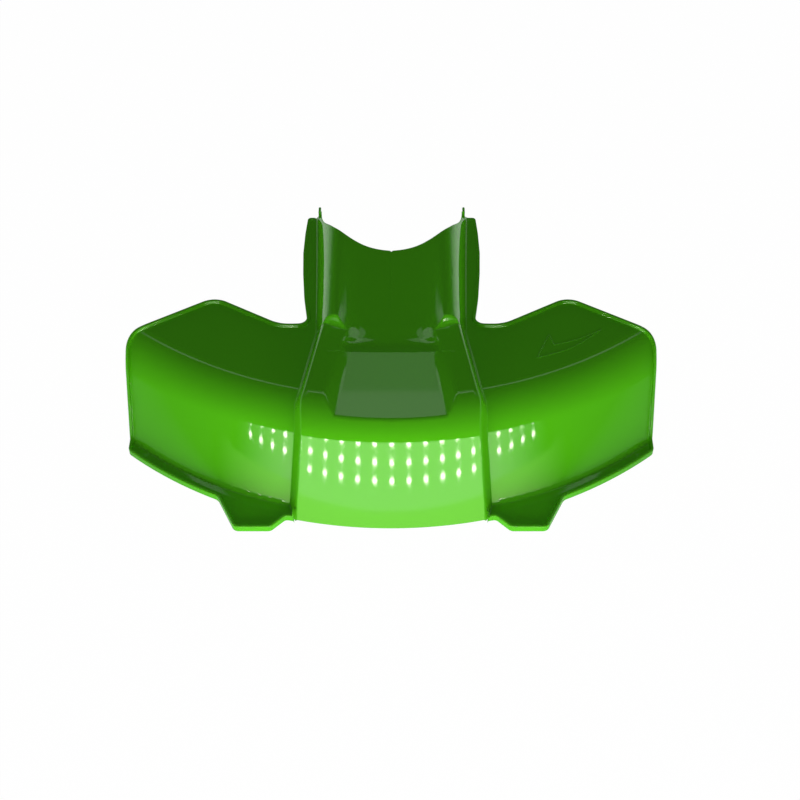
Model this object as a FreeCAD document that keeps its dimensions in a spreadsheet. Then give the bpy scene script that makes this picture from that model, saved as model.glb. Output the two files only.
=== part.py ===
import FreeCAD, Part
import math
import os

# Trimmer blade guard, moulded in one piece.
# The origin is on the cutting head's axis at the level of the top of the wing plates.
# +X is to the right seen from the skirt's side, -Y points to the skirt, +Z is up.

Vector = FreeCAD.Vector
doc = FreeCAD.newDocument("trimmer_blade_guard")

# Driving dimensions in millimetres and degrees
SIZES = [
    ("guard_width", 300.0),
    ("wall", 2.5),
    ("arc_radius", 238.0),
    ("plate_reach", 145.0),
    ("shoulder_radius", 27.0),
    ("skirt_flare", 30.0),
    ("skirt_depth", 51.3),
    ("flange_width", 7.7),
    ("lip_width", 2.0),
    ("lip_height", 1.8),
    ("hump_rise", 9.1),
    ("hump_forward", 8.8),
    ("hump_half_width", 49.8),
    ("hump_edge_rise", 3.5),
    ("hump_throat_half_width", 38.4),
    ("side_draft", 17.0),
    ("notch_radius", 43.0),
    ("neck_half_width", 53.6),
    ("neck_waist_half_width", 47.5),
    ("neck_foot_half_width", 46.5),
    ("neck_rise", 18.6),
    ("neck_fall", 2.3),
    ("ridge_rise", 10.8),
    ("ledge_slope", 48.0),
    ("pocket_rear_half_width", 23.0),
    ("pocket_front_half_width", 30.0),
    ("pocket_flank_run", 2.6),
    ("pocket_rear_height", 8.4),
    ("pocket_front_height", 5.0),
    ("foot_half_gap", 60.0),
    ("foot_reach", 198.9),
    ("foot_length", 20.0),
    ("nub_height", 9.8),
    ("nub_width", 2.0),
    ("nub_length", 4.0),
    ("nub_half_gap", 43.2),
    ("nick_depth", 0.8),
]

sheet = doc.addObject("Spreadsheet::Sheet", "sizes")
for row, (alias, value) in enumerate(SIZES, start=1):
    sheet.set("A%d" % row, alias)
    sheet.set("B%d" % row, "%g" % value)
    sheet.setAlias("B%d" % row, alias)
doc.recompute()


def size(alias):
    return float(sheet.get(alias))


half = size("guard_width") / 2
wall = size("wall")
flare = math.radians(size("skirt_flare"))
arc_radius = size("arc_radius")
shoulder = size("shoulder_radius")
depth = size("skirt_depth")
# How far construction blocks reach beyond the guard, and how far back they run
margin = 20.0
floor_level = -depth - margin
rear_limit = 60.0
block_front = -300.0
block_length = 400.0

# Stations along the guard: where the ledge's crest, the ridges' saddle and the hump's brow lie,
# and where the sunken pad begins and ends
crest_y = -96.0
saddle_rear_y = -60.0
saddle_y = -98.0
brow_y = -146.0
pad_rear_y = -122.0
pad_front_y = -163.3
pad_end_y = -188.0
neck_rear_y = 8.0
neck_front_y = -112.0

# The corner that the plate and the skirt would make without the rounded shoulder
turn = math.pi / 2 - flare
corner_y = -size("plate_reach") - shoulder * math.tan(turn / 2)
skirt_foot_y = corner_y - depth * math.tan(flare)
flange_edge_y = skirt_foot_y - size("flange_width")


def arc_sag(x):
    return arc_radius - math.sqrt(arc_radius ** 2 - x ** 2)


def prism(points, lift):
    wire = Part.makePolygon(points + [points[0]])
    return Part.Face(wire).extrude(lift)


def half_space(point, outward):
    """Large block that fills everything beyond a plane, on the side that outward points to."""
    extent = 600.0
    block = Part.makeBox(extent, extent, extent, Vector(-extent / 2, -extent / 2, 0))
    block.Placement = FreeCAD.Placement(point, FreeCAD.Rotation(Vector(0, 0, 1), outward))
    return block


def shouldered_block(inset, forward, rise, half_width):
    """Solid under a plate, a rounded shoulder and a flared skirt that follow one plan arc."""
    top = rise - inset
    front = corner_y - forward + inset * math.tan(turn / 2)
    side = front + arc_sag(half_width)
    left, right = Vector(-half_width, side, top), Vector(half_width, side, top)
    back_left, back_right = Vector(-half_width, rear_limit, top), Vector(half_width, rear_limit, top)
    edges = [
        Part.Arc(left, Vector(0, front, top), right).toShape(),
        Part.makeLine(right, back_right),
        Part.makeLine(back_right, back_left),
        Part.makeLine(back_left, left),
    ]
    drop = top - floor_level
    block = Part.Face(Part.Wire(edges)).extrude(Vector(0, -drop * math.tan(flare), -drop))
    brow = [e for e in block.Edges if e.BoundBox.ZMin > top - 0.01 and e.BoundBox.XLength > half_width
            and e.BoundBox.YMax < 0 and e.BoundBox.YLength > 0.01]
    return block.makeFillet(shoulder - inset, brow)


def hump_sides(inset):
    """Wedge between the hump's drafted sides: one pair of planes on the plate, one on the skirt."""
    throat, full = size("hump_throat_half_width"), size("hump_half_width")
    rise, forward = size("hump_rise"), size("hump_forward")
    taper_run = 66.0
    taper = (full - throat) / taper_run
    draft = math.tan(math.radians(size("side_draft")))
    spread = math.hypot(rise, forward) * draft
    along_plate = Vector(taper, -1, 0)
    along_skirt = Vector(0, -math.sin(flare), -math.cos(flare))
    ruling = Vector(-spread, -forward, rise)
    wedge = Part.makeBox(200, block_length, 160, Vector(-100, block_front, floor_level))
    anchors = [(Vector(throat, crest_y, rise), along_plate, Vector(-spread, 0, rise)),
               (Vector(full, corner_y - forward, rise), along_skirt, ruling)]
    for anchor, first, second in anchors:
        normal = first.cross(second).normalize()
        if normal.x < 0:
            normal = -normal
        for sign in (1, -1):
            outward = Vector(sign * normal.x, normal.y, normal.z)
            point = Vector(sign * anchor.x, anchor.y, anchor.z) - outward * inset
            wedge = wedge.cut(half_space(point, outward))
    return wedge


def spline_section(y, half_points, lid):
    """Closed section across the guard: a smooth curve through mirrored points, closed by straight lines."""
    points = [Vector(-x, y, z) for x, z in reversed(half_points)] + [Vector(x, y, z) for x, z in half_points[1:]]
    curve = Part.BSplineCurve()
    curve.interpolate(points)
    ends = [Vector(points[-1].x, y, lid), Vector(points[0].x, y, lid)]
    return Part.Wire([curve.toShape()] + Part.makePolygon([points[-1]] + ends + [points[0]]).Edges)


def neck_block(inset):
    """Arched neck, cut off in front by the sloping ledge."""
    rise, fall = size("neck_rise"), size("neck_fall")

    def section(y, top, foot):
        shape = [(0.0, top), (16.0, top), (28.0, top), (foot - 9.5, top - 1.2), (foot - 5.0, top * 0.5), (foot, 0.0),
                 (foot + 2.0, -6.0)]
        half_points = [(x if x < 20 else x - inset, z - inset if x < foot - 6 else z) for x, z in shape]
        return spline_section(y, half_points, -12.0)

    narrowing = 2.5
    foot_rear = size("neck_foot_half_width")
    ends = [section(neck_rear_y, rise, foot_rear), section(neck_front_y, rise - fall, foot_rear - narrowing)]
    block = Part.makeLoft(ends, True, True)
    slope = math.radians(size("ledge_slope"))
    outward = Vector(0, -math.sin(slope), math.cos(slope))
    crest = Vector(0, crest_y, rise - fall) - outward * inset
    return block.cut(half_space(crest, outward))


def saddle(inset):
    """Raised top of the two ridges, falling from the ledge to the hump's brow."""
    reach, foot = 100.0, -6.0
    ridge, brow = size("ridge_rise") - inset, size("hump_rise") - inset
    profile = [(saddle_rear_y, ridge), (saddle_y, ridge), (brow_y, brow), (brow_y, foot), (saddle_rear_y, foot)]
    block = prism([Vector(-reach, y, z) for y, z in profile], Vector(2 * reach, 0, 0))
    return block.common(hump_sides(inset))


def valley_cutter(inset):
    """Smooth valley along the neck that deepens into the scoop in front of the pad."""
    rear = size("pocket_rear_height")
    edge = size("pocket_rear_half_width")
    profiles = [
        (10.0, [(0, 15.9), (14, 16.8), (26, 18.4), (34, 20.5), (44, 26)]),
        (-50.0, [(0, 12.9), (14, 13.6), (25, 15.8), (33, 19.5), (42, 26)]),
        (-90.0, [(0, 9.2), (14, 9.5), (23, 10.8), (28, 15.5), (34, 26)]),
        (-106.0, [(0, 7.0), (14, 7.1), (edge, 7.8), (28.5, 13), (36, 24)]),
        (pad_rear_y, [(0, rear), (14, rear), (edge, rear + 0.1), (edge + 7.5, rear + 2.9), (edge + 20, rear + 9)]),
    ]
    sections = [spline_section(y, [(x + inset * (x > 15), z - inset) for x, z in points], 45.0)
                for y, points in profiles]
    return Part.makeLoft(sections, True, False)


def pad_cutter(inset):
    """Space above the nearly level pad, with shallow flanks that rise to the ridges."""
    rear_z, front_z = size("pocket_rear_height") - inset, size("pocket_front_height") - inset
    rear_w, front_w = size("pocket_rear_half_width") + inset, size("pocket_front_half_width") + inset
    fall = (front_z - rear_z) / (pad_front_y - pad_rear_y)
    widen = (front_w - rear_w) / (pad_front_y - pad_rear_y)
    run = size("pocket_flank_run")
    high = 30.0

    def section(y):
        z, x = rear_z + fall * (y - pad_rear_y), rear_w + widen * (y - pad_rear_y)
        lid = x + run * (high - z)
        return Part.makePolygon([Vector(-x, y, z), Vector(x, y, z), Vector(lid, y, high), Vector(-lid, y, high),
                                 Vector(-x, y, z)])

    return Part.makeLoft([section(pad_rear_y), section(pad_end_y)], True, True)


def skirt_blocks(inset):
    """The wings with their skirt, and everything below the flange's level."""
    slab = Part.makeBox(2 * (half + margin), block_length, -depth - inset - floor_level,
                        Vector(-half - margin, block_front, floor_level))
    return shouldered_block(inset, 0.0, 0.0, half + margin), slab


def body(inset):
    """Everything below the guard's upper surface, that surface moved inwards by inset."""
    hump_block_half = 90.0
    hump = shouldered_block(inset, size("hump_forward"), size("hump_rise"), hump_block_half)
    hump = hump.common(hump_sides(inset))
    raised = hump.fuse([saddle(inset), neck_block(inset)])
    raised = raised.cut([valley_cutter(inset), pad_cutter(inset)])
    wings, slab = skirt_blocks(inset)
    return wings.fuse([raised, slab])


def rounded_prism(corners, low, high):
    """Prism over a plan outline whose corners are (x, y, radius)."""
    base = [Vector(x, y, low) for x, y, radius in corners]
    block = prism(base, Vector(0, 0, high - low))
    for x, y, radius in corners:
        if radius > 0:
            upright = [e for e in block.Edges if e.BoundBox.ZLength > (high - low) * 0.99
                       and abs(e.CenterOfMass.x - x) < 0.01 and abs(e.CenterOfMass.y - y) < 0.01]
            block = block.makeFillet(radius, upright)
    return block


def outline(low, high, inset=0.0):
    """Plan outline of the whole guard as a prism."""
    neck, waist = size("neck_half_width"), size("neck_waist_half_width")
    side = [
        (neck, 0.0, 1.5), (neck, -38.0, 30.0), (waist, -93.8, 5.0), (64.0, -94.6, 22.0),
        (103.0, -71.4, 14.0), (half, -99.4, 14.0), (half, -230.0, 0.0),
    ]
    mirror = [(-x, y, radius) for x, y, radius in reversed(side)]
    plan = rounded_prism(side + mirror, low, high)
    disc = Part.makeCylinder(arc_radius, high - low, Vector(0, flange_edge_y + arc_radius, low))
    plan = plan.common(disc)
    gap, reach, length = size("foot_half_gap"), size("foot_reach"), size("foot_length")
    for sign in (-1, 1):
        foot = [(sign * x, y, radius) for x, y, radius in [
            (gap - 14.0, -160.0, 0.0), (gap - 2.0, -190.0, 0.0), (gap + 6.5, -reach, 4.0),
            (gap + 6.5 + length, -reach, 4.0), (gap + 38.5, -175.0, 0.0), (gap + 38.5, -160.0, 0.0)]]
        plan = plan.fuse(rounded_prism(foot, low, high))
    plan = plan.removeSplitter()
    if inset > 0:
        base = max((f for f in plan.Faces if f.BoundBox.ZLength < 0.01), key=lambda f: -f.BoundBox.ZMin)
        wire = base.OuterWire.makeOffset2D(-inset)
        plan = Part.Face(wire).extrude(Vector(0, 0, high - low))
    return plan


def lip_ring(low, high):
    """Band along the outline, as wide as the lip, that leaves out the notch's side."""
    ring = outline(low, high).cut(outline(low, high, size("lip_width")))
    reach = 2 * size("neck_foot_half_width")
    neck = Part.makeBox(reach, size("notch_radius") + rear_limit, high - low,
                        Vector(-reach / 2, -size("notch_radius"), low))
    return ring.cut(neck)


def skirt_body(inset):
    """The wings and the flange's level alone, without the hump and the neck."""
    wings, slab = skirt_blocks(inset)
    return wings.fuse(slab)


def moulded_skin():
    """The wall between the outer surface and the same surface one wall further in, with its lip."""
    low, high = floor_level + 5.0, 50.0
    plan = outline(low, high)
    # Space in front of the flange's edge that the hump's skirt reaches into
    spread = size("hump_half_width") + 3.8
    near, far = -150.0, -230.0
    corners = [(-spread, near, 0.0), (spread, near, 0.0), (spread, far, 0.0), (-spread, far, 0.0)]
    hump_front = rounded_prism(corners, low, high)
    inner = body(wall)
    skin = body(0.0).cut(inner).common(plan.fuse(hump_front))
    lip = skirt_body(-size("lip_height")).cut(inner).common(lip_ring(low, high))
    edge_level = -depth + size("hump_edge_rise")
    below = Part.makeBox(2 * half, 100, edge_level - low, Vector(-half, -250, low))
    below = below.cut(Part.makeCylinder(arc_radius, high - low, Vector(0, flange_edge_y + arc_radius, low)))
    feet = outline(low, high)
    return skin.cut(below.cut(feet)).fuse(lip).removeSplitter()


skin = doc.addObject("Part::Feature", "skin")
skin.Label = "moulded_skin"
skin.Shape = moulded_skin()
skin.Placement = FreeCAD.Placement()

# Small ribs that stand at the rear ends of the neck's side walls
nubs = []
for side, start in (("left", "-sizes.nub_half_gap - sizes.nub_width"), ("right", "sizes.nub_half_gap")):
    nub = doc.addObject("Part::Box", "nub_%s" % side)
    nub.Label = "%s_nub" % side
    nub.setExpression("Length", "sizes.nub_width")
    nub.setExpression("Width", "sizes.nub_length")
    nub.setExpression("Height", "sizes.nub_height + sizes.wall")
    nub.setExpression("Placement.Base.x", start)
    nub.setExpression("Placement.Base.y", "-sizes.nub_length")
    nub.setExpression("Placement.Base.z", "-sizes.wall")
    nubs.append(nub)

moulding = doc.addObject("Part::MultiFuse", "moulding")
moulding.Label = "moulding"
moulding.Shapes = [skin] + nubs

# Half-round notch that goes round the cutting head, with a small nick in the middle of its rim
notch = doc.addObject("Part::Cylinder", "notch")
notch.Label = "housing_notch"
notch.Height = 140
notch.setExpression("Radius", "sizes.notch_radius")
notch.Placement.Base.z = -80

nick = doc.addObject("Part::Box", "nick")
nick.Label = "rim_nick"
nick.Height = 60
nick.Length = 6
nick.Width = 6
nick.Placement = FreeCAD.Placement(Vector(0, 0, -10), FreeCAD.Rotation(Vector(0, 0, 1), 45))
nick.setExpression("Placement.Base.y", "-sizes.notch_radius - sizes.nick_depth")

openings = doc.addObject("Part::MultiFuse", "openings")
openings.Label = "openings"
openings.Shapes = [notch, nick]

guard = doc.addObject("Part::Cut", "blade_guard")
guard.Label = "blade_guard"
guard.Base = moulding
guard.Tool = openings
guard.Refine = True
doc.recompute()

for item in doc.Objects:
    if "Invalid" in item.State or "Error" in item.State:
        raise RuntimeError("%s did not build" % item.Label)
if guard.Shape.isNull() or not guard.Shape.isValid():
    raise RuntimeError("the guard's shape is not valid")
if len(guard.Shape.Solids) != 1:
    raise RuntimeError("the guard is not one piece: %s" % [round(s.Volume) for s in guard.Shape.Solids])

os.makedirs("parts", exist_ok=True)
guard.Shape.Solids[0].exportStep("parts/%s.step" % guard.Label)
print("guard", guard.Shape.BoundBox, round(guard.Shape.Volume), "mm3")
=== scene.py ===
"""Dresses the trimmer blade guard: one glossy moulded skin with its lip, ribs and turning arrow."""

import math
from types import SimpleNamespace

import bpy
import numpy as np
from bpy.props import FloatProperty, PointerProperty, StringProperty
from mathutils import Matrix, Vector
from mathutils.geometry import delaunay_2d_cdt


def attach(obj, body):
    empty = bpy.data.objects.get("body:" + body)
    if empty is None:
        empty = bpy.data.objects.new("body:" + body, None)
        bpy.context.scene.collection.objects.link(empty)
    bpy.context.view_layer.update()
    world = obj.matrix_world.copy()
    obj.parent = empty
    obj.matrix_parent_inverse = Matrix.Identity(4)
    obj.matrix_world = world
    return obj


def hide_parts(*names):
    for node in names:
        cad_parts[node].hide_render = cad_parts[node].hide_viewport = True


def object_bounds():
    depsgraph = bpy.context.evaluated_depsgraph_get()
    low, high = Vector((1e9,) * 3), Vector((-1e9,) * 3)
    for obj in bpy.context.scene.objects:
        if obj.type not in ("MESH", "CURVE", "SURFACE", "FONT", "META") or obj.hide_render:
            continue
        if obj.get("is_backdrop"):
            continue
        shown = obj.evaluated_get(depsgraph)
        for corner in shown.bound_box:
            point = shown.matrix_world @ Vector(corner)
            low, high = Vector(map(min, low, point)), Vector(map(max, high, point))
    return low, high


bl_info = {
    "name": "Trimmer blade guard",
    "version": (1, 0, 0),
    "blender": (4, 5, 0),
    "location": "3D View > Sidebar > Guard",
    "description": "Builds the moulded skin, ribs, turning arrow and stage of a trimmer blade guard",
    "category": "Object",
}

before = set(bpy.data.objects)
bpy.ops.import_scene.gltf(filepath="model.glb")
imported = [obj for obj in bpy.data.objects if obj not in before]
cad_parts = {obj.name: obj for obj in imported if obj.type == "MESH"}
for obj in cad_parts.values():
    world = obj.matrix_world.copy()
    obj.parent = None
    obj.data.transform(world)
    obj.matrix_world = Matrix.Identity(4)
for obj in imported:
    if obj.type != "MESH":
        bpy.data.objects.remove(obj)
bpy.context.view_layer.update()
MM = 0.001
ROOT = "root"


def length(name, description, millimetres):
    """A size given in millimetres and kept in metres, as the panel shows it."""
    return FloatProperty(name=name, description=description, default=millimetres * MM, precision=4,
                         unit="LENGTH")


def angle(name, description, degrees):
    return FloatProperty(name=name, description=description, default=math.radians(degrees), subtype="ANGLE")


def amount(name, description, default):
    return FloatProperty(name=name, description=description, default=default)


class GuardSizes(bpy.types.PropertyGroup):
    """Sizes of the moulding. They repeat the driving sizes of the guard's solid."""

    width: length("Width", "Overall width over both wings", 300)
    end_bead: length("End bead", "How far the bead at the wings' ends stands out", 1.8)
    wall: length("Wall", "Thickness of the moulded skin", 2.5)
    arc: length("Plan arc", "Radius of the skirt's curve in plan", 238)
    reach: length("Plate reach", "From the cutting head's axis to the shoulder's start", 145)
    shoulder: length("Shoulder", "Radius between the plates and the skirt", 27)
    flare: angle("Flare", "Lean of the skirt from upright", 30)
    depth: length("Skirt depth", "Height from the plates down to the flange", 51.3)
    flange: length("Flange", "Width of the flange round the skirt's foot", 8.9)
    lip_width: length("Lip width", "Width of the raised lip round the edge", 2)
    lip_height: length("Lip height", "Height of the raised lip round the edge", 1.8)
    hump_rise: length("Hump rise", "Height of the hump over the plates", 9.1)
    hump_forward: length("Hump forward", "How far the hump's skirt stands in front of the wings'", 8.8)
    hump_half: length("Hump half width", "Half width of the hump at its brow", 49.8)
    throat_half: length("Throat half width", "Half width of the hump where it meets the neck", 38.4)
    hump_edge: length("Hump edge", "Height of the hump's lower edge over the flange", 3.5)
    draft: angle("Side draft", "Lean of the hump's sides", 17)
    notch: length("Notch radius", "Radius of the half-round notch", 43)
    nick: length("Nick", "Depth of the nick in the middle of the rim", 0.8)
    neck_half: length("Neck half width", "Half width over the neck's side strips", 53.6)
    waist_half: length("Waist half width", "Half width of the neck where the wings begin", 47.5)
    neck_foot: length("Neck foot", "Half width of the arched neck at its foot", 46.5)
    neck_rise: length("Neck rise", "Height of the neck's shoulders at the rear", 18.7)
    neck_fall: length("Neck fall", "Drop of the neck's shoulders towards the front", 2.3)
    ridge_rise: length("Ridge rise", "Height of the ridges behind the hump", 10.8)
    ledge: angle("Ledge", "Slope of the ledge between neck and ridges", 63)
    pad_rear_half: length("Pad rear half width", "Half width of the sunken pad at its rear", 23)
    pad_front_half: length("Pad front half width", "Half width of the sunken pad in front", 30)
    pad_rear: length("Pad rear height", "Height of the pad's rear edge", 8.4)
    pad_front: length("Pad front height", "Height of the pad's front edge", 5.1)


class GuardColours(bpy.types.PropertyGroup):
    """Finish of the moulding and brightness of the studio."""

    plastic: StringProperty(name="Plastic", description="Colour of the plastic, sRGB hex", default="#4CAE10")
    roughness: amount("Roughness", "Roughness of the moulded surface", 0.04)
    key_power: amount("Lamp bar", "Power of the lamp bar in front, watts", 2.0)
    top_power: amount("Soft top", "Power of the soft light above, watts", 1.6)
    floor_glow: amount("Floor glow", "Light from the floor in front of the part", 3.7)
    walls: amount("Walls", "Brightness of the pale walls behind", 0.7)
    fill: amount("Fill", "Strength of the even light from all round", 0.04)


def plain_sizes():
    """The sizes as plain numbers: millimetres and radians."""
    group = bpy.context.scene.guard_sizes
    units = dict.fromkeys(GuardSizes.__annotations__, MM) | {"flare": 1, "draft": 1, "ledge": 1}
    return SimpleNamespace(**{key: getattr(group, key) / unit for key, unit in units.items()})


def ramp(value, span):
    """0 up to the span's first end, 1 past its second, and even in between."""
    return np.clip((value - span[0]) / (span[1] - span[0]), 0, 1)


def soft_min(a, b, blend):
    """The lower of two heights, with the corner between them rounded."""
    overlap = np.clip(blend - np.abs(a - b), 0, None)
    return np.minimum(a, b) - overlap ** 2 / (4 * blend)


def soft_max(a, b, blend):
    return -soft_min(-a, -b, blend)


def halved(low, high, times, before):
    """Halves spans so many times, each about the place up to which a condition holds."""
    for _ in range(times):
        middle = (low + high) / 2
        held = before(middle)
        low, high = np.where(held, middle, low), np.where(held, high, middle)
    return low, high


def smooth_curve(stations, values, at):
    """A smooth curve through the values at the stations, straight beyond its ends."""
    stations, values = np.asarray(stations, float), [np.asarray(v, float) for v in values]
    last = len(values) - 1
    slopes = [(values[min(i + 1, last)] - values[max(i - 1, 0)])
              / (stations[min(i + 1, last)] - stations[max(i - 1, 0)]) for i in range(last + 1)]
    span = np.clip(np.searchsorted(stations, at) - 1, 0, last - 1)
    result = np.zeros(np.shape(at))
    for i in range(last):
        width = stations[i + 1] - stations[i]
        t = (at - stations[i]) / width
        inside = values[i] * (2 * t ** 3 - 3 * t ** 2 + 1) + values[i + 1] * (3 * t ** 2 - 2 * t ** 3)
        inside = inside + width * (slopes[i] * (t ** 3 - 2 * t ** 2 + t) + slopes[i + 1] * (t ** 3 - t ** 2))
        below = values[i] + slopes[i] * (at - stations[i])
        beyond = values[i + 1] + slopes[i + 1] * (at - stations[i + 1])
        piece = np.where(t < 0, below, np.where(t > 1, beyond, inside))
        result = np.where(span == i, piece, result)
    return result


# Places along the guard in millimetres, from the front to the rear
PAD_FRONT = -163.3
BROW = -146.0
PAD_REAR = -122.0
NECK_END = -112.0
SADDLE_START = -98.0
CREST = -96.0
NECK_START = 8.0
# Half sections of the valley along the neck, from the scoop to the notch: (y, heights at HALF_STATIONS)
HALF_STATIONS = (0, 14, 23, 28, 34, 44)
VALLEY = (
    (-122, (8.4, 8.4, 8.4, 9.4, 11.6, 17)),
    (-116, (7.5, 7.5, 7.8, 9.8, 14, 25)),
    (-110, (7.75, 7.9, 8.7, 11.5, 17.5, 32)),
    (-103, (8.15, 8.5, 9.9, 13.2, 20.6, 38)),
    (-95, (8.7, 9.1, 11, 14.6, 22, 40)),
    (-50, (12.3, 13.3, 15.2, 17.4, 21.4, 30)),
    (10, (16.5, 17.5, 18.9, 20.1, 22.5, 30)),
)
# Over this half width the skin's thickness comes to count sideways in the valley
VALLEY_FLOOR = (0.0, 15.0)
# The neck's rounded side: (half width, drop below its top)
SIDE_STATIONS = (20, 28, 31.5, 35.5, 37.6, 40, 43, 46.5, 50)
SIDE_DROPS = (-0.6, 0, 0.5, 2.4, 4, 7, 12, 18.6, 25.5)
# How far the neck's foot draws in towards its front end, growing between these half widths
FOOT_NARROWING = 4.5
NARROWING_SPAN = (36.0, 46.0)
# The hump's side planes: length of the taper, spread per millimetre down the skirt, start inside the brow
TAPER_LENGTH = 66.0
SKIRT_SPREAD = 0.072
SKIRT_SIDE_INSET = 3.0
# The ledge's top edge stands in front of the crest's line and slants between these half widths
LEDGE_FORWARD = 2.0
LEDGE_SKEW = 0.35
LEDGE_SPAN = (26.0, 37.0)
# The pad's sides, and the steep seams where pad and valley give way to each other
FLANK_WIDTH = 7.5
SEAM_SLOPE = 3.0
# Widths over which two surfaces that meet are blended
BLEND = {"flange": 1.3, "hump_planes": 8.0, "hump": 4.0, "neck": 1.6, "ledge": 1.2, "wing": 1.8,
         "flank": 0.25, "pocket": 0.12}
# The blend of hump and neck grows inside the neck's shoulders, the pocket's edge on the neck
HOLLOW, HOLLOW_GROWTH, HOLLOW_SPAN = 1.0, 1.5, (38.0, 33.0)
EDGE, EDGE_GROWTH, EDGE_SPAN = 0.7, 1.8, (-100.0, -90.0)


class Surface:
    """Heights over the plan of the guard's outer surface, or of the one a wall further in."""

    def __init__(self, sizes, inset=0.0):
        self.s, self.inset = sizes, inset
        self.corner = -sizes.reach - sizes.shoulder * math.tan((math.pi / 2 - sizes.flare) / 2)
        self.foot_line = self.corner - sizes.depth * math.tan(sizes.flare)
        self.edge_line = self.foot_line - sizes.flange

    def sag(self, x):
        return self.s.arc - np.sqrt(self.s.arc ** 2 - np.asarray(x, float) ** 2)

    def turning(self, x, forward):
        """How the shoulder turns at a place across: its slant in plan, its angle and its brow's line."""
        slant = np.sqrt(1 - (np.asarray(x, float) / self.s.arc) ** 2)
        turn = np.arctan(1 / (math.tan(self.s.flare) * slant))
        brow = self.corner - forward + self.inset * math.tan((math.pi / 2 - self.s.flare) / 2)
        return slant, turn, brow

    def shoulder_ends(self, x, forward):
        """Where the shoulder's arc leaves the plate and where it meets the skirt."""
        slant, turn, brow = self.turning(x, forward)
        radius = self.s.shoulder - self.inset
        back = radius * np.tan(turn / 2) / slant
        return brow + self.sag(x) + back, brow + self.sag(x) + back - radius * np.sin(turn) / slant

    def shouldered(self, x, y, forward=0.0):
        """Height of a plate that turns down into the skirt by a ball rolled along its curved brow."""
        radius = self.s.shoulder - self.inset
        slant, turn, brow = self.turning(x, forward)
        run = np.clip((brow - y + self.sag(x)) * slant + radius * np.tan(turn / 2), 0, None)
        turned = radius * np.sin(turn)
        arc = radius - np.sqrt(radius ** 2 - np.minimum(run, turned) ** 2)
        return -self.inset - arc - np.clip(run - turned, 0, None) * np.tan(turn)

    def wing(self, x, y):
        return soft_max(self.shouldered(x, y), -self.s.depth - self.inset + 0 * x, BLEND["flange"])

    def swell(self, y):
        """How much the ridges rise over the hump's top from its brow to the saddle."""
        return (self.s.ridge_rise - self.s.hump_rise) * ramp(y, (BROW, SADDLE_START)) ** 3

    def hump_top(self, x, y):
        return self.s.hump_rise + self.shouldered(x, y, self.s.hump_forward) + self.swell(y)

    def hump_side(self, x, y):
        """The drafted side of the hump: one plane over the plates, one over the skirt."""
        s = self.s
        taper = (s.hump_half - s.throat_half) / TAPER_LENGTH
        spread = math.hypot(s.hump_rise, s.hump_forward) * math.tan(s.draft)
        down = Vector((SKIRT_SPREAD, -math.sin(s.flare), -math.cos(s.flare)))
        heights = []
        for across, place, along, rise in (
                (s.throat_half, CREST, Vector((taper, -1, 0)), Vector((-spread, 0, s.hump_rise))),
                (s.hump_half - SKIRT_SIDE_INSET, self.corner - s.hump_forward, down,
                 Vector((-spread, -s.hump_forward, s.hump_rise)))):
            normal = along.cross(rise).normalized()
            normal = -normal if normal.x < 0 else normal
            out = normal.x * (np.abs(x) - across) + normal.y * (y - place) + self.inset
            heights.append(s.hump_rise - out / normal.z)
        return soft_min(heights[0], heights[1], BLEND["hump_planes"])

    def neck_top(self, x, y):
        fall = self.s.neck_fall / (NECK_START - NECK_END)
        return self.s.neck_rise - self.inset - fall * (NECK_START - y) + 0 * x

    def neck_side(self, x, y):
        narrowing = FOOT_NARROWING * (NECK_START - y) / (NECK_START - NECK_END)
        across = np.abs(x) + self.inset + narrowing * ramp(np.abs(x), NARROWING_SPAN)
        return self.neck_top(x, y) + self.inset - smooth_curve(SIDE_STATIONS, SIDE_DROPS, across)

    def ledge(self, x, y):
        top = self.s.neck_rise - self.s.neck_fall
        crest = CREST - LEDGE_FORWARD - LEDGE_SKEW * (LEDGE_SPAN[1] - np.clip(np.abs(x), *LEDGE_SPAN))
        return top + (y - crest) * math.tan(self.s.ledge) - self.inset / math.cos(self.s.ledge)

    def valley(self, x, y):
        across = np.abs(x)
        across = across - self.inset * ramp(across, VALLEY_FLOOR)
        rows = [smooth_curve(HALF_STATIONS, heights, across) for station, heights in VALLEY]
        wall = SEAM_SLOPE * np.clip(PAD_REAR - y, 0, None)
        return smooth_curve([station for station, heights in VALLEY], rows, y) - self.inset + wall

    def pad_plane(self, y):
        fall = (self.s.pad_front - self.s.pad_rear) / (PAD_FRONT - PAD_REAR)
        return self.s.pad_rear - self.inset + fall * (y - PAD_REAR)

    def pad(self, x, y):
        return self.pad_plane(y) + SEAM_SLOPE * np.clip(y - PAD_REAR, 0, None) + 0 * x

    def pad_half(self, y):
        widen = (self.s.pad_front_half - self.s.pad_rear_half) / (PAD_FRONT - PAD_REAR)
        return self.s.pad_rear_half + self.inset + widen * (y - PAD_REAR)

    def flank(self, x, y):
        lift = self.s.hump_rise + self.swell(y) - self.inset - self.pad_plane(y)
        return self.pad(x, y) + (np.abs(x) - self.pad_half(y)) * lift / FLANK_WIDTH

    def pocket(self, x, y):
        padded = soft_max(self.pad(x, y), self.flank(x, y), BLEND["flank"])
        return soft_min(self.valley(x, y), padded, BLEND["pocket"])

    def hump(self, x, y):
        return soft_min(self.hump_top(x, y), self.hump_side(x, y), BLEND["hump"])

    def neck(self, x, y):
        rounded = soft_min(self.neck_top(x, y), self.neck_side(x, y), BLEND["neck"])
        return soft_min(rounded, self.ledge(x, y), BLEND["ledge"])

    def raised(self, x, y):
        hollow = HOLLOW + HOLLOW_GROWTH * ramp(np.abs(x), HOLLOW_SPAN)
        edge = EDGE + EDGE_GROWTH * ramp(y, EDGE_SPAN)
        return soft_min(soft_max(self.hump(x, y), self.neck(x, y), hollow), self.pocket(x, y), edge)

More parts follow.
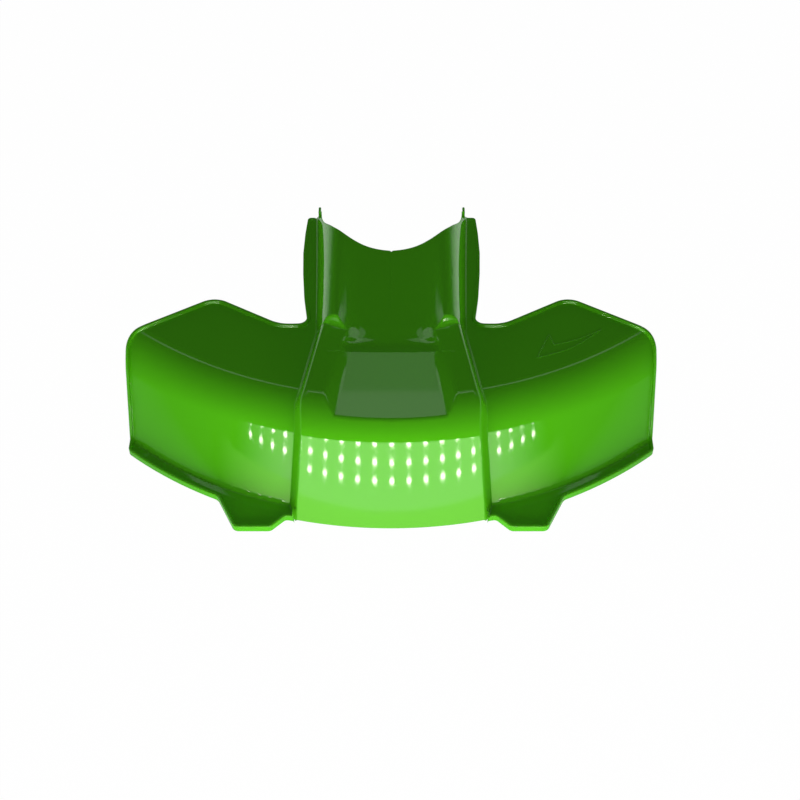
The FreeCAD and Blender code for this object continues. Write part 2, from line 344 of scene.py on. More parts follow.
    def height(self, x, y, lift=0.0, drop=0.0):
        return soft_max(self.wing(x, y) + lift, self.raised(x, y), BLEND["wing"]) - drop

    def slopes(self, x, y, step=0.02):
        across = (self.height(x + step, y) - self.height(x - step, y)) / (2 * step)
        along = (self.height(x, y + step) - self.height(x, y - step)) / (2 * step)
        return across, along


# The outline of the right half in plan, millimetres, with corners as (x, y, rounding)
OUTLINE_SPACING = 1.3
SMALLEST_GAP = 0.02
NOTCH_TURNS = np.radians(np.arange(1.0, 90.5, 1.5))
# How far the edge of the neck's strip stands inside its half width, and where along the neck
STRIP_END = (2.0, 0.0, 2.2)
STRIP_BOWS = ((0.9, -15.0), (0.4, -32.0), (1.1, -50.0), (2.6, -70.0))
STRIP_ROUNDING = 12.0
WAIST_OUT, WAIST_Y = 0.6, -92.2
WING_REAR = ((64.0, -93.0, 22.0), (103.0, -70.8, 14.0))
WING_END_Y = -99.4
# Half widths on the flange's edge: where its plain arc ends, and the foot's outer and inner ends
ARC_END, FOOT_OUTER, FOOT_INNER = 102.5, 97.4, 58.6
FOOT_FRONT = ((86.8, -199.8, 4.0), (66.5, -199.8, 4.0))
# Half widths between which the hump's side comes down to the flange
SIDE_SEARCH = (40.0, 62.0)


def rounded_path(corners):
    """Points along a chain of corners (x, y, radius), with each radius as an arc."""
    path = []
    for i, (x, y, radius) in enumerate(corners):
        here = Vector((x, y))
        if radius <= 0 or i in (0, len(corners) - 1):
            path.append(here)
            continue
        back = (Vector(corners[i - 1][:2]) - here).normalized()
        ahead = (Vector(corners[i + 1][:2]) - here).normalized()
        half = back.angle(ahead) / 2
        reach = radius / math.tan(half)
        middle = here + (back + ahead).normalized() * (radius / math.sin(half))
        start, end = here + back * reach - middle, here + ahead * reach - middle
        sweep = start.angle_signed(end)
        count = max(3, int(abs(sweep) * radius / OUTLINE_SPACING * 2))
        path += [middle + Matrix.Rotation(-sweep * k / count, 2) @ start for k in range(count + 1)]
    dense = [path[0]]
    for point in path[1:]:
        last = dense[-1]
        gap = (point - last).length
        if gap >= SMALLEST_GAP:
            steps = max(1, math.ceil(gap / OUTLINE_SPACING))
            dense.extend(last.lerp(point, k / steps) for k in range(1, steps + 1))
    return dense


def half_outline(surface):
    """Right half of the plan outline from the nick to the hump's lower edge, as points and edge kinds."""
    s = surface.s
    half = s.width / 2 + s.end_bead
    level = -s.depth + s.hump_edge
    hump_front = surface.corner - s.hump_forward - (s.hump_rise - level) * math.tan(s.flare)

    def edge(x, rounding=0.0, start=surface.edge_line):
        return (x, start + float(surface.sag(x)), rounding)

    def side_foot(start, height):
        """Half width at which the hump's side comes down to a height on a plan arc."""
        def above(x):
            return surface.hump_side(x, start + surface.sag(x)) > height

        return float(halved(*SIDE_SEARCH, 40, above)[0])

    notch = [(s.notch * math.sin(turn), -s.notch * math.cos(turn), 0.0) for turn in NOTCH_TURNS]
    rim = rounded_path([(0.0, -s.notch - s.nick, 0.0)] + notch
                       + [(s.notch, 0.0, 0.0), (s.neck_foot, 0.0, 0.0)])
    strip = [(s.neck_foot, 0.0, 0.0), (s.neck_half - STRIP_END[0], *STRIP_END[1:])]
    strip += [(s.neck_half - bow, y, STRIP_ROUNDING) for bow, y in STRIP_BOWS]
    wing = [(s.waist_half + WAIST_OUT, WAIST_Y, 5.0), *WING_REAR, (half, WING_END_Y, 14.0), edge(half, 4.0)]
    arc = [edge(x) for x in np.linspace(half - 5.0, ARC_END, 9)]
    inner_foot = edge(side_foot(surface.edge_line, -s.depth))
    foot = [edge(FOOT_OUTER, 6.0), *FOOT_FRONT, edge(FOOT_INNER, 3.0, surface.edge_line - 0.2), inner_foot]
    lipped = rounded_path(strip + wing + arc + foot)
    front = [edge(x, start=hump_front) for x in np.linspace(side_foot(hump_front, level), 0.0, 16)]
    bottom = rounded_path([inner_foot] + front)
    points = rim[:-1] + lipped[:-1] + bottom
    kinds = ["rim"] * (len(rim) - 1) + ["lip"] * (len(lipped) - 1) + ["bottom"] * len(bottom)
    return points, kinds


def whole_outline(surface):
    """The outline's points, counter-clockwise seen from above, and the kind of edge that leaves each."""
    points, kinds = half_outline(surface)
    right, left = points[:0:-1], points[:-1]
    plan = [(point.x, point.y) for point in right] + [(-point.x, point.y) for point in left]
    return np.array(plan), np.array(kinds[-2::-1] + kinds[:-1])


# Points measured against the outline at a time
BLOCK = 2000


def to_edge(points, loop):
    """For each point, its distance to the outline, the inward direction and whether that edge has a lip."""
    if len(points) > BLOCK:
        parts = [to_edge(points[i:i + BLOCK], loop) for i in range(0, len(points), BLOCK)]
        return [np.concatenate(part) for part in zip(*parts)]
    start, kinds = loop
    along = np.roll(start, -1, axis=0) - start
    span = np.maximum((along ** 2).sum(1), 1e-9)
    offset = points[:, None, :] - start[None]
    t = np.clip((offset * along[None]).sum(2) / span[None], 0, 1)
    gap = offset - t[..., None] * along[None]
    nearest = (gap ** 2).sum(2).argmin(1)
    away = gap[np.arange(len(points)), nearest]
    far = np.sqrt((away ** 2).sum(1))
    side = np.stack([-along[nearest][:, 1], along[nearest][:, 0]], 1)
    side = side / np.linalg.norm(side, axis=1)[:, None]
    inward = np.where(far[:, None] > 0.01, away / np.maximum(far, 1e-6)[:, None], side)
    return far, inward, kinds[nearest] == "lip"


def lip_profile(s, distance):
    """Height of the rounded lip at a distance from the edge, and how fast it changes."""
    outer, inner, foot = 0.7, 0.5, 0.35
    flat = s.lip_width - inner

    def rise(d):
        d = np.clip(d, 0.0, None)
        round_edge = np.sqrt(np.clip(outer ** 2 - (outer - np.minimum(d, outer)) ** 2, 0, None))
        beyond = np.clip((d - flat) / (inner + foot), 0, 1)
        return (s.lip_height - outer + round_edge) * (1 - beyond ** 2 * (3 - 2 * beyond))

    step = 0.01
    return rise(distance), (rise(distance + step) - rise(np.maximum(distance - step, 0.004))) / (2 * step)


def rim_drop(distance, radius):
    """How much a plain edge is rounded off at a distance from it, and how fast that changes."""
    near = np.clip(distance, 0.015, radius)
    root = np.sqrt(np.maximum(radius ** 2 - (radius - near) ** 2, 1e-9))
    rounded = distance < radius
    return np.where(rounded, radius - root, 0.0), np.where(rounded, -(radius - near) / root, 0.0)


def crease(first, second, rows, search, across=True):
    """Points where two surfaces meet, one on each row, found by halving the span that is searched."""
    low, high = (np.full(len(rows), float(end)) for end in search)

    def gap(v):
        x, y = (v, rows) if across else (rows, v)
        return first(x, y) - second(x, y)

    sign = np.sign(gap(low))
    valid = sign * np.sign(gap(high)) < 0
    low, high = halved(low, high, 30, lambda v: np.sign(gap(v)) == sign)
    found = (low + high) / 2
    return np.stack([found, rows] if across else [rows, found], 1)[valid]


# Step along a crease, and the places of the rows beside it
FINE_CREASE = 0.9, (-1.3, -0.8, -0.45, -0.2, 0.0, 0.2, 0.45, 0.8, 1.3)
COARSE_CREASE = 2.0, (-0.7, 0.0, 0.7)


def crease_points(f, fine):
    """Plan points along every crease of a surface, in close rows on both sides of it."""
    step, shifts = FINE_CREASE if fine else COARSE_CREASE
    # Creases along the guard: two surfaces, their rows' span along y and the half widths searched
    lines_across = [crease(first, second, np.arange(*span, step), search) for first, second, span, search in (
        (f.hump_top, f.hump_side, (-204.0, -96.0), (25, 60)),
        (f.wing, f.hump, (-204.0, -60.0), (36, 62)),
        (f.wing, f.neck_side, (-97.0, 0.5), (30, 60)),
        (f.neck_top, f.valley, (-97.0, 0.5), (10, 40)),
        (f.hump_top, f.pocket, (-165.0, -97.0), (10, 45)))]
    pad_rows = np.arange(-166.0, PAD_REAR, step)
    lines_across.append(np.stack([f.pad_half(pad_rows), pad_rows], 1))
    # Creases across it, searched along y
    ledge_columns, pad_columns = np.arange(24.0, 42.0, step), np.arange(0.0, 36.0, step)
    lines_along = [
        crease(f.neck_top, f.ledge, ledge_columns, (-110, -85), False),
        crease(f.hump_top, f.ledge, ledge_columns, (-115, -90), False),
        np.stack([ledge_columns, BROW + 0 * ledge_columns], 1),
        np.stack([pad_columns, PAD_REAR + 0 * pad_columns], 1),
        crease(f.hump_top, f.pad, pad_columns, (-175, -150), False)]
    for forward, span in ((0.0, (46.0, 150.0)), (f.s.hump_forward, (0.4, 55.0))):
        columns = np.arange(*span, step)
        lines_along += [np.stack([columns, end], 1) for end in f.shoulder_ends(columns, forward)]
    return np.concatenate([line + shift * np.array(side) for lines, side in (
        (lines_across, (1, 0)), (lines_along, (0, 1))) for line in lines for shift in shifts])


# Spacing of the mesh's points in millimetres, that of the turn round the shoulder in degrees
SPACING = {"columns": 2.0, "turn": 3.0, "skirt_first": 1.2, "skirt": 1.6, "flange": 1.8, "plate": 2.5,
           "centre": 1.5, "wing": 3.0}
COARSER = 1.8
# The wings' rows start at this half width, and the hump's rows end at that one
WING_START, HUMP_END = 46.0, 54.5
CENTRE_HALF = 56.0
# Behind the shoulder's start: the plates' rows, and where the wings' even field begins
PLATE_ROWS, FIELD_START = (2.5, 14.0), 15.0
# Spans along the guard of the even fields on the centre and on the wings
CENTRE_SPAN, WING_SPAN = (-152.0, 0.0), (-136.0, -70.0)


def field_points(f, fine):
    """Plan points along the arcs of shoulders, skirts and flange, and all over the plates and the neck."""
    s = f.s
    half = s.width / 2
    gap = {name: step * (1.0 if fine else COARSER) for name, step in SPACING.items()}
    turns = np.radians(np.arange(0, 60.1, gap["turn"]))
    arcs = [-s.reach - (s.shoulder - f.inset) * math.sin(turn) for turn in turns]
    skirt_start = arcs[-1] - gap["skirt_first"]
    skirt = list(np.arange(skirt_start, f.foot_line - 1.0, -gap["skirt"]))
    foot = [f.foot_line + k * 0.3 for k in range(-4, 5)] if fine else [f.foot_line]
    flange = list(np.arange(f.foot_line - 2.0, f.edge_line - 16.0, -gap["flange"]))
    plate = list(np.arange(PLATE_ROWS[0] - s.reach, PLATE_ROWS[1] - s.reach, gap["plate"]))
    hump_skirt = list(np.arange(skirt_start, f.edge_line + s.hump_forward - 6.0, -gap["skirt"]))
    columns = np.arange(0.5, half, gap["columns"])
    groups = []
    for lines, x, forward in (
            (plate + arcs + skirt + foot + flange, columns[columns > WING_START], 0.0),
            (plate + arcs + hump_skirt, columns[columns < HUMP_END], s.hump_forward)):
        groups += [np.stack([x, along - forward + f.sag(x)], 1) for along in lines]
    x, y = np.meshgrid(np.arange(0.6, CENTRE_HALF, gap["centre"]), np.arange(*CENTRE_SPAN, gap["centre"]))
    groups.append(np.stack([x.ravel(), y.ravel()], 1))
    x, y = np.meshgrid(np.arange(CENTRE_HALF, half, gap["wing"]), np.arange(*WING_SPAN, gap["wing"]))
    keep = y.ravel() - f.sag(x.ravel()) > FIELD_START - s.reach
    groups.append(np.stack([x.ravel(), y.ravel()], 1)[keep])
    return np.concatenate(groups)


def edge_points(loop, distances):
    """Points at set distances inside the outline."""
    plan = loop[0]
    tangent = np.roll(plan, -1, axis=0) - np.roll(plan, 1, axis=0)
    tangent = tangent / np.linalg.norm(tangent, axis=1)[:, None]
    inward = np.stack([-tangent[:, 1], tangent[:, 0]], 1)
    groups = []
    for distance in distances:
        moved = plan + inward * distance
        true_distance = to_edge(moved, loop)[0]
        groups.append(moved[np.abs(true_distance - distance) < 0.04])
    return np.concatenate(groups)


def thin_out(groups, cell_sizes):
    """Keeps the points of each group that have none kept before them in or beside their cell."""
    taken, kept = {}, []

    def is_near(x, y, cell, older, cells):
        i, j = math.floor(x / older), math.floor(y / older)
        spread = math.ceil(cell / older) if cell > older else 0
        steps = range(-spread, spread + 1)
        return any((i + di, j + dj) in cells for di in steps for dj in steps)

    for group, cell in zip(groups, cell_sizes):
        chosen = []
        for x, y in group:
            if not any(is_near(x, y, cell, older, cells) for older, cells in taken.items()):
                chosen.append((x, y))
                taken.setdefault(cell, set()).add((math.floor(x / cell), math.floor(y / cell)))
        kept.append(np.array(chosen).reshape(-1, 2))
    return kept


# Rows of points inside the outline, how far the other points keep away from it, and the thinning cells
FINE_RINGS, COARSE_RINGS = (0.12, 0.3, 0.55, 0.9, 1.5, 1.75, 2.0, 2.2, 2.45, 2.9), (1.5,)
FINE_CLEAR, COARSE_CLEAR = 3.1, 2.0
CELLS = (0.11, 0.22, 1.0)


def plan_mesh(surface, loop, fine):
    """Points and triangles over the outline, and the numbers of the outline's own points."""
    border = loop[0]
    groups = [edge_points(loop, FINE_RINGS if fine else COARSE_RINGS)]
    for half in (crease_points(surface, fine), field_points(surface, fine)):
        both = np.concatenate([half, half * (-1, 1)])
        groups.append(both[to_edge(both, loop)[0] > (FINE_CLEAR if fine else COARSE_CLEAR)])
    points = [Vector(point) for point in np.concatenate([border] + thin_out(groups, CELLS))]
    count = len(border)
    spots, _, triangles, sources, _, inside = delaunay_2d_cdt(points, [], [list(range(count))], 1, 1e-5, True)
    order = {old: new for new, olds in enumerate(sources) for old in olds if old < count}
    faces = np.array([triangle for triangle, owners in zip(triangles, inside) if owners])
    # Points outside the outline carry no triangle and are left out
    used, faces = np.unique(faces, return_inverse=True)
    number = {old: new for new, old in enumerate(used)}
    plan = np.array([tuple(spots[i]) for i in used])
    return plan, faces.reshape(-1, 3), np.array([number[order[i]] for i in range(count)])


# The lip dies out along the neck's side strips, inside this half width, but for a remainder
LIP_FADE_HALF = 57.0
LIP_FADE_SPAN = (-76.0, -94.0)
LIP_REMAINDER = 0.12
# The neck's plain rim is rounded, and only behind this line
RIM_RADIUS = 1.0
RIM_START = -80.0
EDGE_ZONE = 3.0


def lifted(surface, plan, loop, fine):
    """Heights and normals over the plan, with the lip and the rounded rims near the edge."""
    x, y = plan[:, 0], plan[:, 1]
    across, along = surface.slopes(x, y)
    lift, drop = np.zeros(len(plan)), np.zeros(len(plan))
    if fine:
        distance, inward, lipped = to_edge(plan, loop)
        near = distance < EDGE_ZONE
        rise, rise_rate = lip_profile(surface.s, distance)
        fade = np.where(np.abs(x) < LIP_FADE_HALF, np.maximum(ramp(y, LIP_FADE_SPAN), LIP_REMAINDER), 1.0)
        rise, rise_rate = rise * fade, rise_rate * fade
        fall, fall_rate = rim_drop(distance, RIM_RADIUS)
        slant = np.sqrt(1 + across ** 2 + along ** 2)
        lift = np.where(near & lipped, rise * slant, 0.0)
        rim = near & ~lipped & (y > RIM_START)
        drop = np.where(rim, fall, 0.0)
        on_wing = surface.wing(x, y) + lift > surface.raised(x, y)
        rate = np.where(near & lipped & on_wing, rise_rate * slant, np.where(rim, -fall_rate, 0))
        across = across + rate * inward[:, 0]
        along = along + rate * inward[:, 1]
    height = surface.height(x, y, lift, drop)
    normals = np.stack([-across, -along, np.ones(len(plan))], 1)
    return np.column_stack([plan, height]), normals / np.linalg.norm(normals, axis=1)[:, None]


def new_mesh(name, points, faces):
    mesh = bpy.data.meshes.new(name)
    mesh.from_pydata(points, [], faces)
    return mesh


def make_skin(sizes):
    """The closed skin: outer surface, inner surface and the wall between them along the outline."""
    outer, inner = Surface(sizes), Surface(sizes, sizes.wall)
    loop = plan, kinds = whole_outline(outer)
    # The hump's lower edge is cut level, and the inner surface ends a wall behind it
    front = (kinds == "bottom") & (plan[:, 1] < outer.edge_line + outer.sag(plan[:, 0]) - 1.5)
    inner_loop = plan + np.outer(front, (0.0, sizes.wall / math.cos(sizes.flare))), kinds
    top_plan, top_faces, top_border = plan_mesh(outer, loop, True)
    low_plan, low_faces, low_border = plan_mesh(inner, inner_loop, False)
    top, top_normals = lifted(outer, top_plan, loop, True)
    low, low_normals = lifted(inner, low_plan, inner_loop, False)
    low[low_border[front], 2] = -sizes.depth + sizes.hump_edge
    vertices, normals = np.concatenate([top, low]), np.concatenate([top_normals, -low_normals])
    faces = np.concatenate([top_faces, low_faces[:, (0, 2, 1)] + len(top)]).tolist()
    corner_normals = [normals[corner] for face in faces for corner in face]
    pairs = np.stack([top_border, low_border + len(top)], 1).tolist()
    for (a, d), (b, c) in zip(pairs, pairs[1:] + pairs[:1]):
        faces.append((a, d, c, b))
        side = Vector(vertices[c] - vertices[a]).cross(Vector(vertices[d] - vertices[b])).normalized()
        corner_normals += [-side] * 4
    mesh = new_mesh("guard_skin", vertices * MM, faces)
    mesh.polygons.foreach_set("use_smooth", [True] * len(mesh.polygons))
    mesh.normals_split_custom_set([tuple(n) for n in corner_normals])
    mesh.update()
    return mesh


def linear(hex_colour):
    """An sRGB hex colour as linear red, green, blue and alpha."""
    parts = [int(hex_colour[i:i + 2], 16) / 255 for i in (1, 3, 5)]
    return [p / 12.92 if p <= 0.04045 else ((p + 0.055) / 1.055) ** 2.4 for p in parts] + [1.0]


def add_node(tree, kind, inputs=(), **settings):
    """Adds a node with its settings. An input is (a value, a socket or a node for its first output, name)."""
    node = tree.nodes.new(kind)
    for key, value in settings.items():
        setattr(node, key, value)
    for source, name in inputs:
        if isinstance(source, bpy.types.Node):
            source = source.outputs[0]
        if isinstance(source, bpy.types.NodeSocket):
            tree.links.new(source, node.inputs[name])
        else:
            node.inputs[name].default_value = source
    return node


# Inputs of a Map Range node in the order in which their values are given
RANGE = ("Value", "From Min", "From Max", "To Min", "To Max")
SMOOTH = {"interpolation_type": "SMOOTHSTEP"}


def new_material(name):
    """A new material, its tree and its shader."""
    material = bpy.data.materials.new(name)
    material.use_nodes = True
    return material, material.node_tree, material.node_tree.nodes["Principled BSDF"]


def show(tree, shader):
    tree.links.new(shader.outputs[0], tree.nodes["Material Output"].inputs["Surface"])


def moulded_plastic():
    """Pigmented polypropylene from a polished mould: deep even colour, high gloss, a faint ripple."""
    colours = bpy.context.scene.guard_colours
    material, tree, shader = new_material("gloss_moulded_plastic")
    shader.inputs["IOR"].default_value = 1.49
    shader.inputs["Roughness"].default_value = colours.roughness
    place = add_node(tree, "ShaderNodeTexCoord").outputs["Object"]
    # Flow of the pigment in the melt: clouds about 60 mm across, barely seen
    clouds = add_node(tree, "ShaderNodeTexNoise", [(place, "Vector"), (16.0, "Scale"), (3.0, "Detail")])
    shade = add_node(tree, "ShaderNodeValToRGB", [(clouds, "Fac")])
    base = linear(colours.plastic)
    for stop, factor in zip(shade.color_ramp.elements, (0.94, 1.05)):
        stop.color = [min(1.0, c * factor) for c in base[:3]] + [1.0]
    tree.links.new(shade.outputs["Color"], shader.inputs["Base Color"])
    # Ripple left by the mould's polish, about 9 mm from crest to crest, and drawn shallow
    ripple = add_node(tree, "ShaderNodeTexNoise", [(place, "Vector"), (110.0, "Scale"), (0.0, "Detail")])
    bump = add_node(tree, "ShaderNodeBump", [(ripple, "Height"), (0.02, "Strength"), (0.0001, "Distance")])
    tree.links.new(bump.outputs["Normal"], shader.inputs["Normal"])
    return material


def add_piece(name, data):
    piece = bpy.data.objects.new(name, data)
    bpy.context.scene.collection.objects.link(piece)
    return piece


def finish_piece(piece):
    """Gives a piece of the guard its plastic and body."""
    piece.data.materials.clear()
    piece.data.materials.append(shared_plastic())
    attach(piece, ROOT)


def shared_plastic():
    return bpy.data.materials.get("gloss_moulded_plastic") or moulded_plastic()


def open_group(name, inputs):
    """A geometry node tree with named inputs, and their sockets."""
    tree = bpy.data.node_groups.new(name, "GeometryNodeTree")
    for label, kind in inputs.items():
        tree.interface.new_socket(label, in_out="INPUT", socket_type="NodeSocket" + kind)
    tree.interface.new_socket("Geometry", in_out="OUTPUT", socket_type="NodeSocketGeometry")
    return tree, add_node(tree, "NodeGroupInput").outputs


def close_group(tree, shape, material):
    """Ends a tree: what it made becomes plain faces of one material."""
    real = add_node(tree, "GeometryNodeRealizeInstances", [(shape, "Geometry")])
    named = add_node(tree, "GeometryNodeSetMaterial", [(real, "Geometry"), (material, "Material")])
    add_node(tree, "NodeGroupOutput", [(named, "Geometry")])


def piece_from_nodes(name, data, tree, values):
    """A new piece with the plain mesh that the nodes make from the data and the named values."""
    carrier = add_piece(name + "_carrier", data)
    nodes = carrier.modifiers.new("Nodes", "NODES")
    nodes.node_group = tree
    for socket in tree.interface.items_tree:
        if socket.name in values:
            nodes[socket.identifier] = values[socket.name]
    bpy.context.view_layer.update()
    evaluated = carrier.evaluated_get(bpy.context.evaluated_depsgraph_get())
    mesh = bpy.data.meshes.new_from_object(evaluated)
    mesh.name = name
    bpy.data.objects.remove(carrier)
    return add_piece(name, mesh)


class GUARD_OT_skin(bpy.types.Operator):
    """Makes the moulded skin with its lip and rounded creases"""

    bl_idname = "guard.skin"
    bl_label = "Moulded skin"

    def execute(self, context):
        piece = add_piece("guard_skin", make_skin(plain_sizes()))
        finish_piece(piece)
        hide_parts("blade_guard")
        return {"FINISHED"}


# How far a rib reaches below the plates' level, and the rounding of its edges
RIB_ROOT = 2.0 * MM
RIB_ROUNDING = 0.25 * MM


class GUARD_OT_ribs(bpy.types.Operator):
    """Makes the two small ribs at the rear ends of the neck's side walls"""

    bl_idname = "guard.ribs"
    bl_label = "Neck ribs"

    width: length("Width", "Thickness of a rib", 1.6)
    run: length("Length", "Length of a rib along the neck", 4)
    top: length("Top", "Height of a rib over the wing plates", 8.8)
    gap: length("Half gap", "From the middle to a rib", 43.2)

    def execute(self, context):
        radius = self.width / 2
        points, faces = [], []
        for sign in (-1, 1):
            middle = sign * (self.gap + radius)
            outline = [(middle + radius, -RIB_ROOT)] + [
                (middle + radius * math.cos(a), self.top - radius + radius * math.sin(a))
                for a in np.linspace(0, math.pi, 13)] + [(middle - radius, -RIB_ROOT)]
            front = range(len(points), len(points) + len(outline))
            back = [i + len(outline) for i in front]
            points += [(x, y, z) for y in (-self.run, 0.0) for x, z in outline]
            faces += [tuple(front), tuple(back[::-1])]
            faces += [(front[i], front[i - 1], back[i - 1], back[i]) for i in range(len(outline))]
        piece = add_piece("neck_ribs", new_mesh("neck_ribs", points, faces))
        bevel = piece.modifiers.new("Soft edges", "BEVEL")
        bevel.width, bevel.segments, bevel.limit_method = RIB_ROUNDING, 3, "ANGLE"
        finish_piece(piece)
        return {"FINISHED"}


# Corners of the arrow in millimetres, tip, barb, throat and tail, with the handles that bow its shaft
SHAFT_UPPER, SHAFT_LOWER = (107.0, -104.4), (103.0, -111.6)
ARROW = (
    ((82.3, -118.6), SHAFT_LOWER, None),
    ((90.3, -100.5), None, None),
    ((92.6, -108.6), None, SHAFT_UPPER),
    ((120.4, -96.6), SHAFT_UPPER, SHAFT_LOWER),
)
LINE_SPACING = 0.5 * MM
LINE_FLATNESS = (1.0, 1.0, 0.7)


class GUARD_OT_arrow(bpy.types.Operator):
    """Makes the raised outline of the turning arrow on the right wing plate"""

    bl_idname = "guard.arrow"
    bl_label = "Turning arrow"

    line: length("Line", "Width of the raised line", 0.7)

    def execute(self, context):
        curve = bpy.data.curves.new("arrow_line", "CURVE")
        curve.dimensions = "3D"
        spline = curve.splines.new("BEZIER")
        spline.bezier_points.add(len(ARROW) - 1)
        for point, (corner, *handles) in zip(spline.bezier_points, ARROW):
            point.co = (corner[0] * MM, corner[1] * MM, 0.0)
            for side, handle in zip(("handle_left", "handle_right"), handles):
                setattr(point, side + "_type", "FREE" if handle else "VECTOR")
                if handle:
                    setattr(point, side, (handle[0] * MM, handle[1] * MM, 0.0))
        spline.use_cyclic_u = True
        values = {"Line width": self.line, "Spacing": LINE_SPACING, "Finish": shared_plastic()}
        finish_piece(piece_from_nodes("turning_arrow", curve, self.raised_line(), values))
        return {"FINISHED"}

    def raised_line(self):
        """Geometry nodes that sweep a small flattened section along a curve."""
        tree, given = open_group("raised_line", {
            "Geometry": "Geometry", "Line width": "Float", "Spacing": "Float", "Finish": "Material"})
        half = add_node(tree, "ShaderNodeMath", [(given["Line width"], 0), (0.5, 1)], operation="MULTIPLY")
        path = add_node(tree, "GeometryNodeResampleCurve", [
            (given["Geometry"], "Curve"), (given["Spacing"], "Length")], mode="LENGTH")
        section = add_node(tree, "GeometryNodeCurvePrimitiveCircle", [(half, "Radius"), (10, "Resolution")])
        swept = add_node(tree, "GeometryNodeCurveToMesh", [(path, "Curve"), (section, "Profile Curve")])
        flat = add_node(tree, "GeometryNodeTransform", [(swept, "Geometry"), (LINE_FLATNESS, "Scale")])
        close_group(tree, flat, given["Finish"])
        return tree


# Where the photograph was taken from, metres: the view leans this far from the plates' normal
VIEW_LEAN = math.radians(41.54)
VIEW_DISTANCE = 0.8
VIEW_TARGET = (0.0051, -0.15023, 0.0)
FOCAL_PIXELS = 1456.8
IMAGE_PIXELS = 800
SENSOR = 36.0
# The floor: what it gives to each kind of ray, and where that changes
FLOOR_GAP = 0.0002
FLOOR_HALF = 3.0
FLOOR_WHITE = 1.03
FLOOR_LIT, FLOOR_LIT_SPAN = 1.5, (-0.06, -0.26)
NEAR_GLOW, NEAR_SPAN = (0.35, 0.05), (0.25, 0.7)
BEHIND_GLOW, BEHIND_SPAN = 0.9, (-0.1, 0.05)
# The lamp bar in front of the skirt and the soft light above: aim, place and size
BAR_AIM = Vector((0.0, -0.17, -0.02))
BAR_RISE = math.radians(9.0)
BAR_DISTANCE = 0.62
BAR_SIZE = (0.9, 0.12)
TOP_AIM, TOP_PLACE, TOP_SIZE = (0.0, -0.1, 0.0), (0.0, -0.25, 0.9), (0.8, 0.5)
# Glowing cards that only the gloss sees: name, half width, depth, lower and upper edge, colour, strength
CARDS = (
    ("front_glow", 0.66, -0.79, (0.036, 0.106), "#D9FFC1", 4.9),
    ("front_low_glow", 0.80, -0.80, (-0.054, 0.042), "#CAFF99", 4.5),
    ("back_low", 0.15, 0.40, (0.765, 0.86), "#FFFFFF", 0.65),
    ("back_high", 0.8, 0.40, (0.86, 0.98), "#FFFFFF", 1.1),
)
# A card's light dies out from this part of its half width to its ends
CARD_FADE = 0.45
# Drop of the front cards' and the lamp board's ends, per metre of half width squared
BOARD_BOW = 0.09
# Rows of small lamps, so wide that the skirt's curve mirrors them as round ones
LAMP_ROWS = {"Columns": 21, "Rows": 3, "Width": 1.10, "Height": 0.036, "Lamp size": 0.0074}
LAMP_SHAPE = (1.0, 0.38, 1.0)
LAMP_PLACE = (0.0, -0.785, 0.082)
LAMP_COLOUR, LAMP_STRENGTH = "#FFFFE8", 55.0
# Directions between which the surroundings grow pale
WALL_LOW, WALL_BACK = (0.45, 0.15), (-0.4, 0.3)


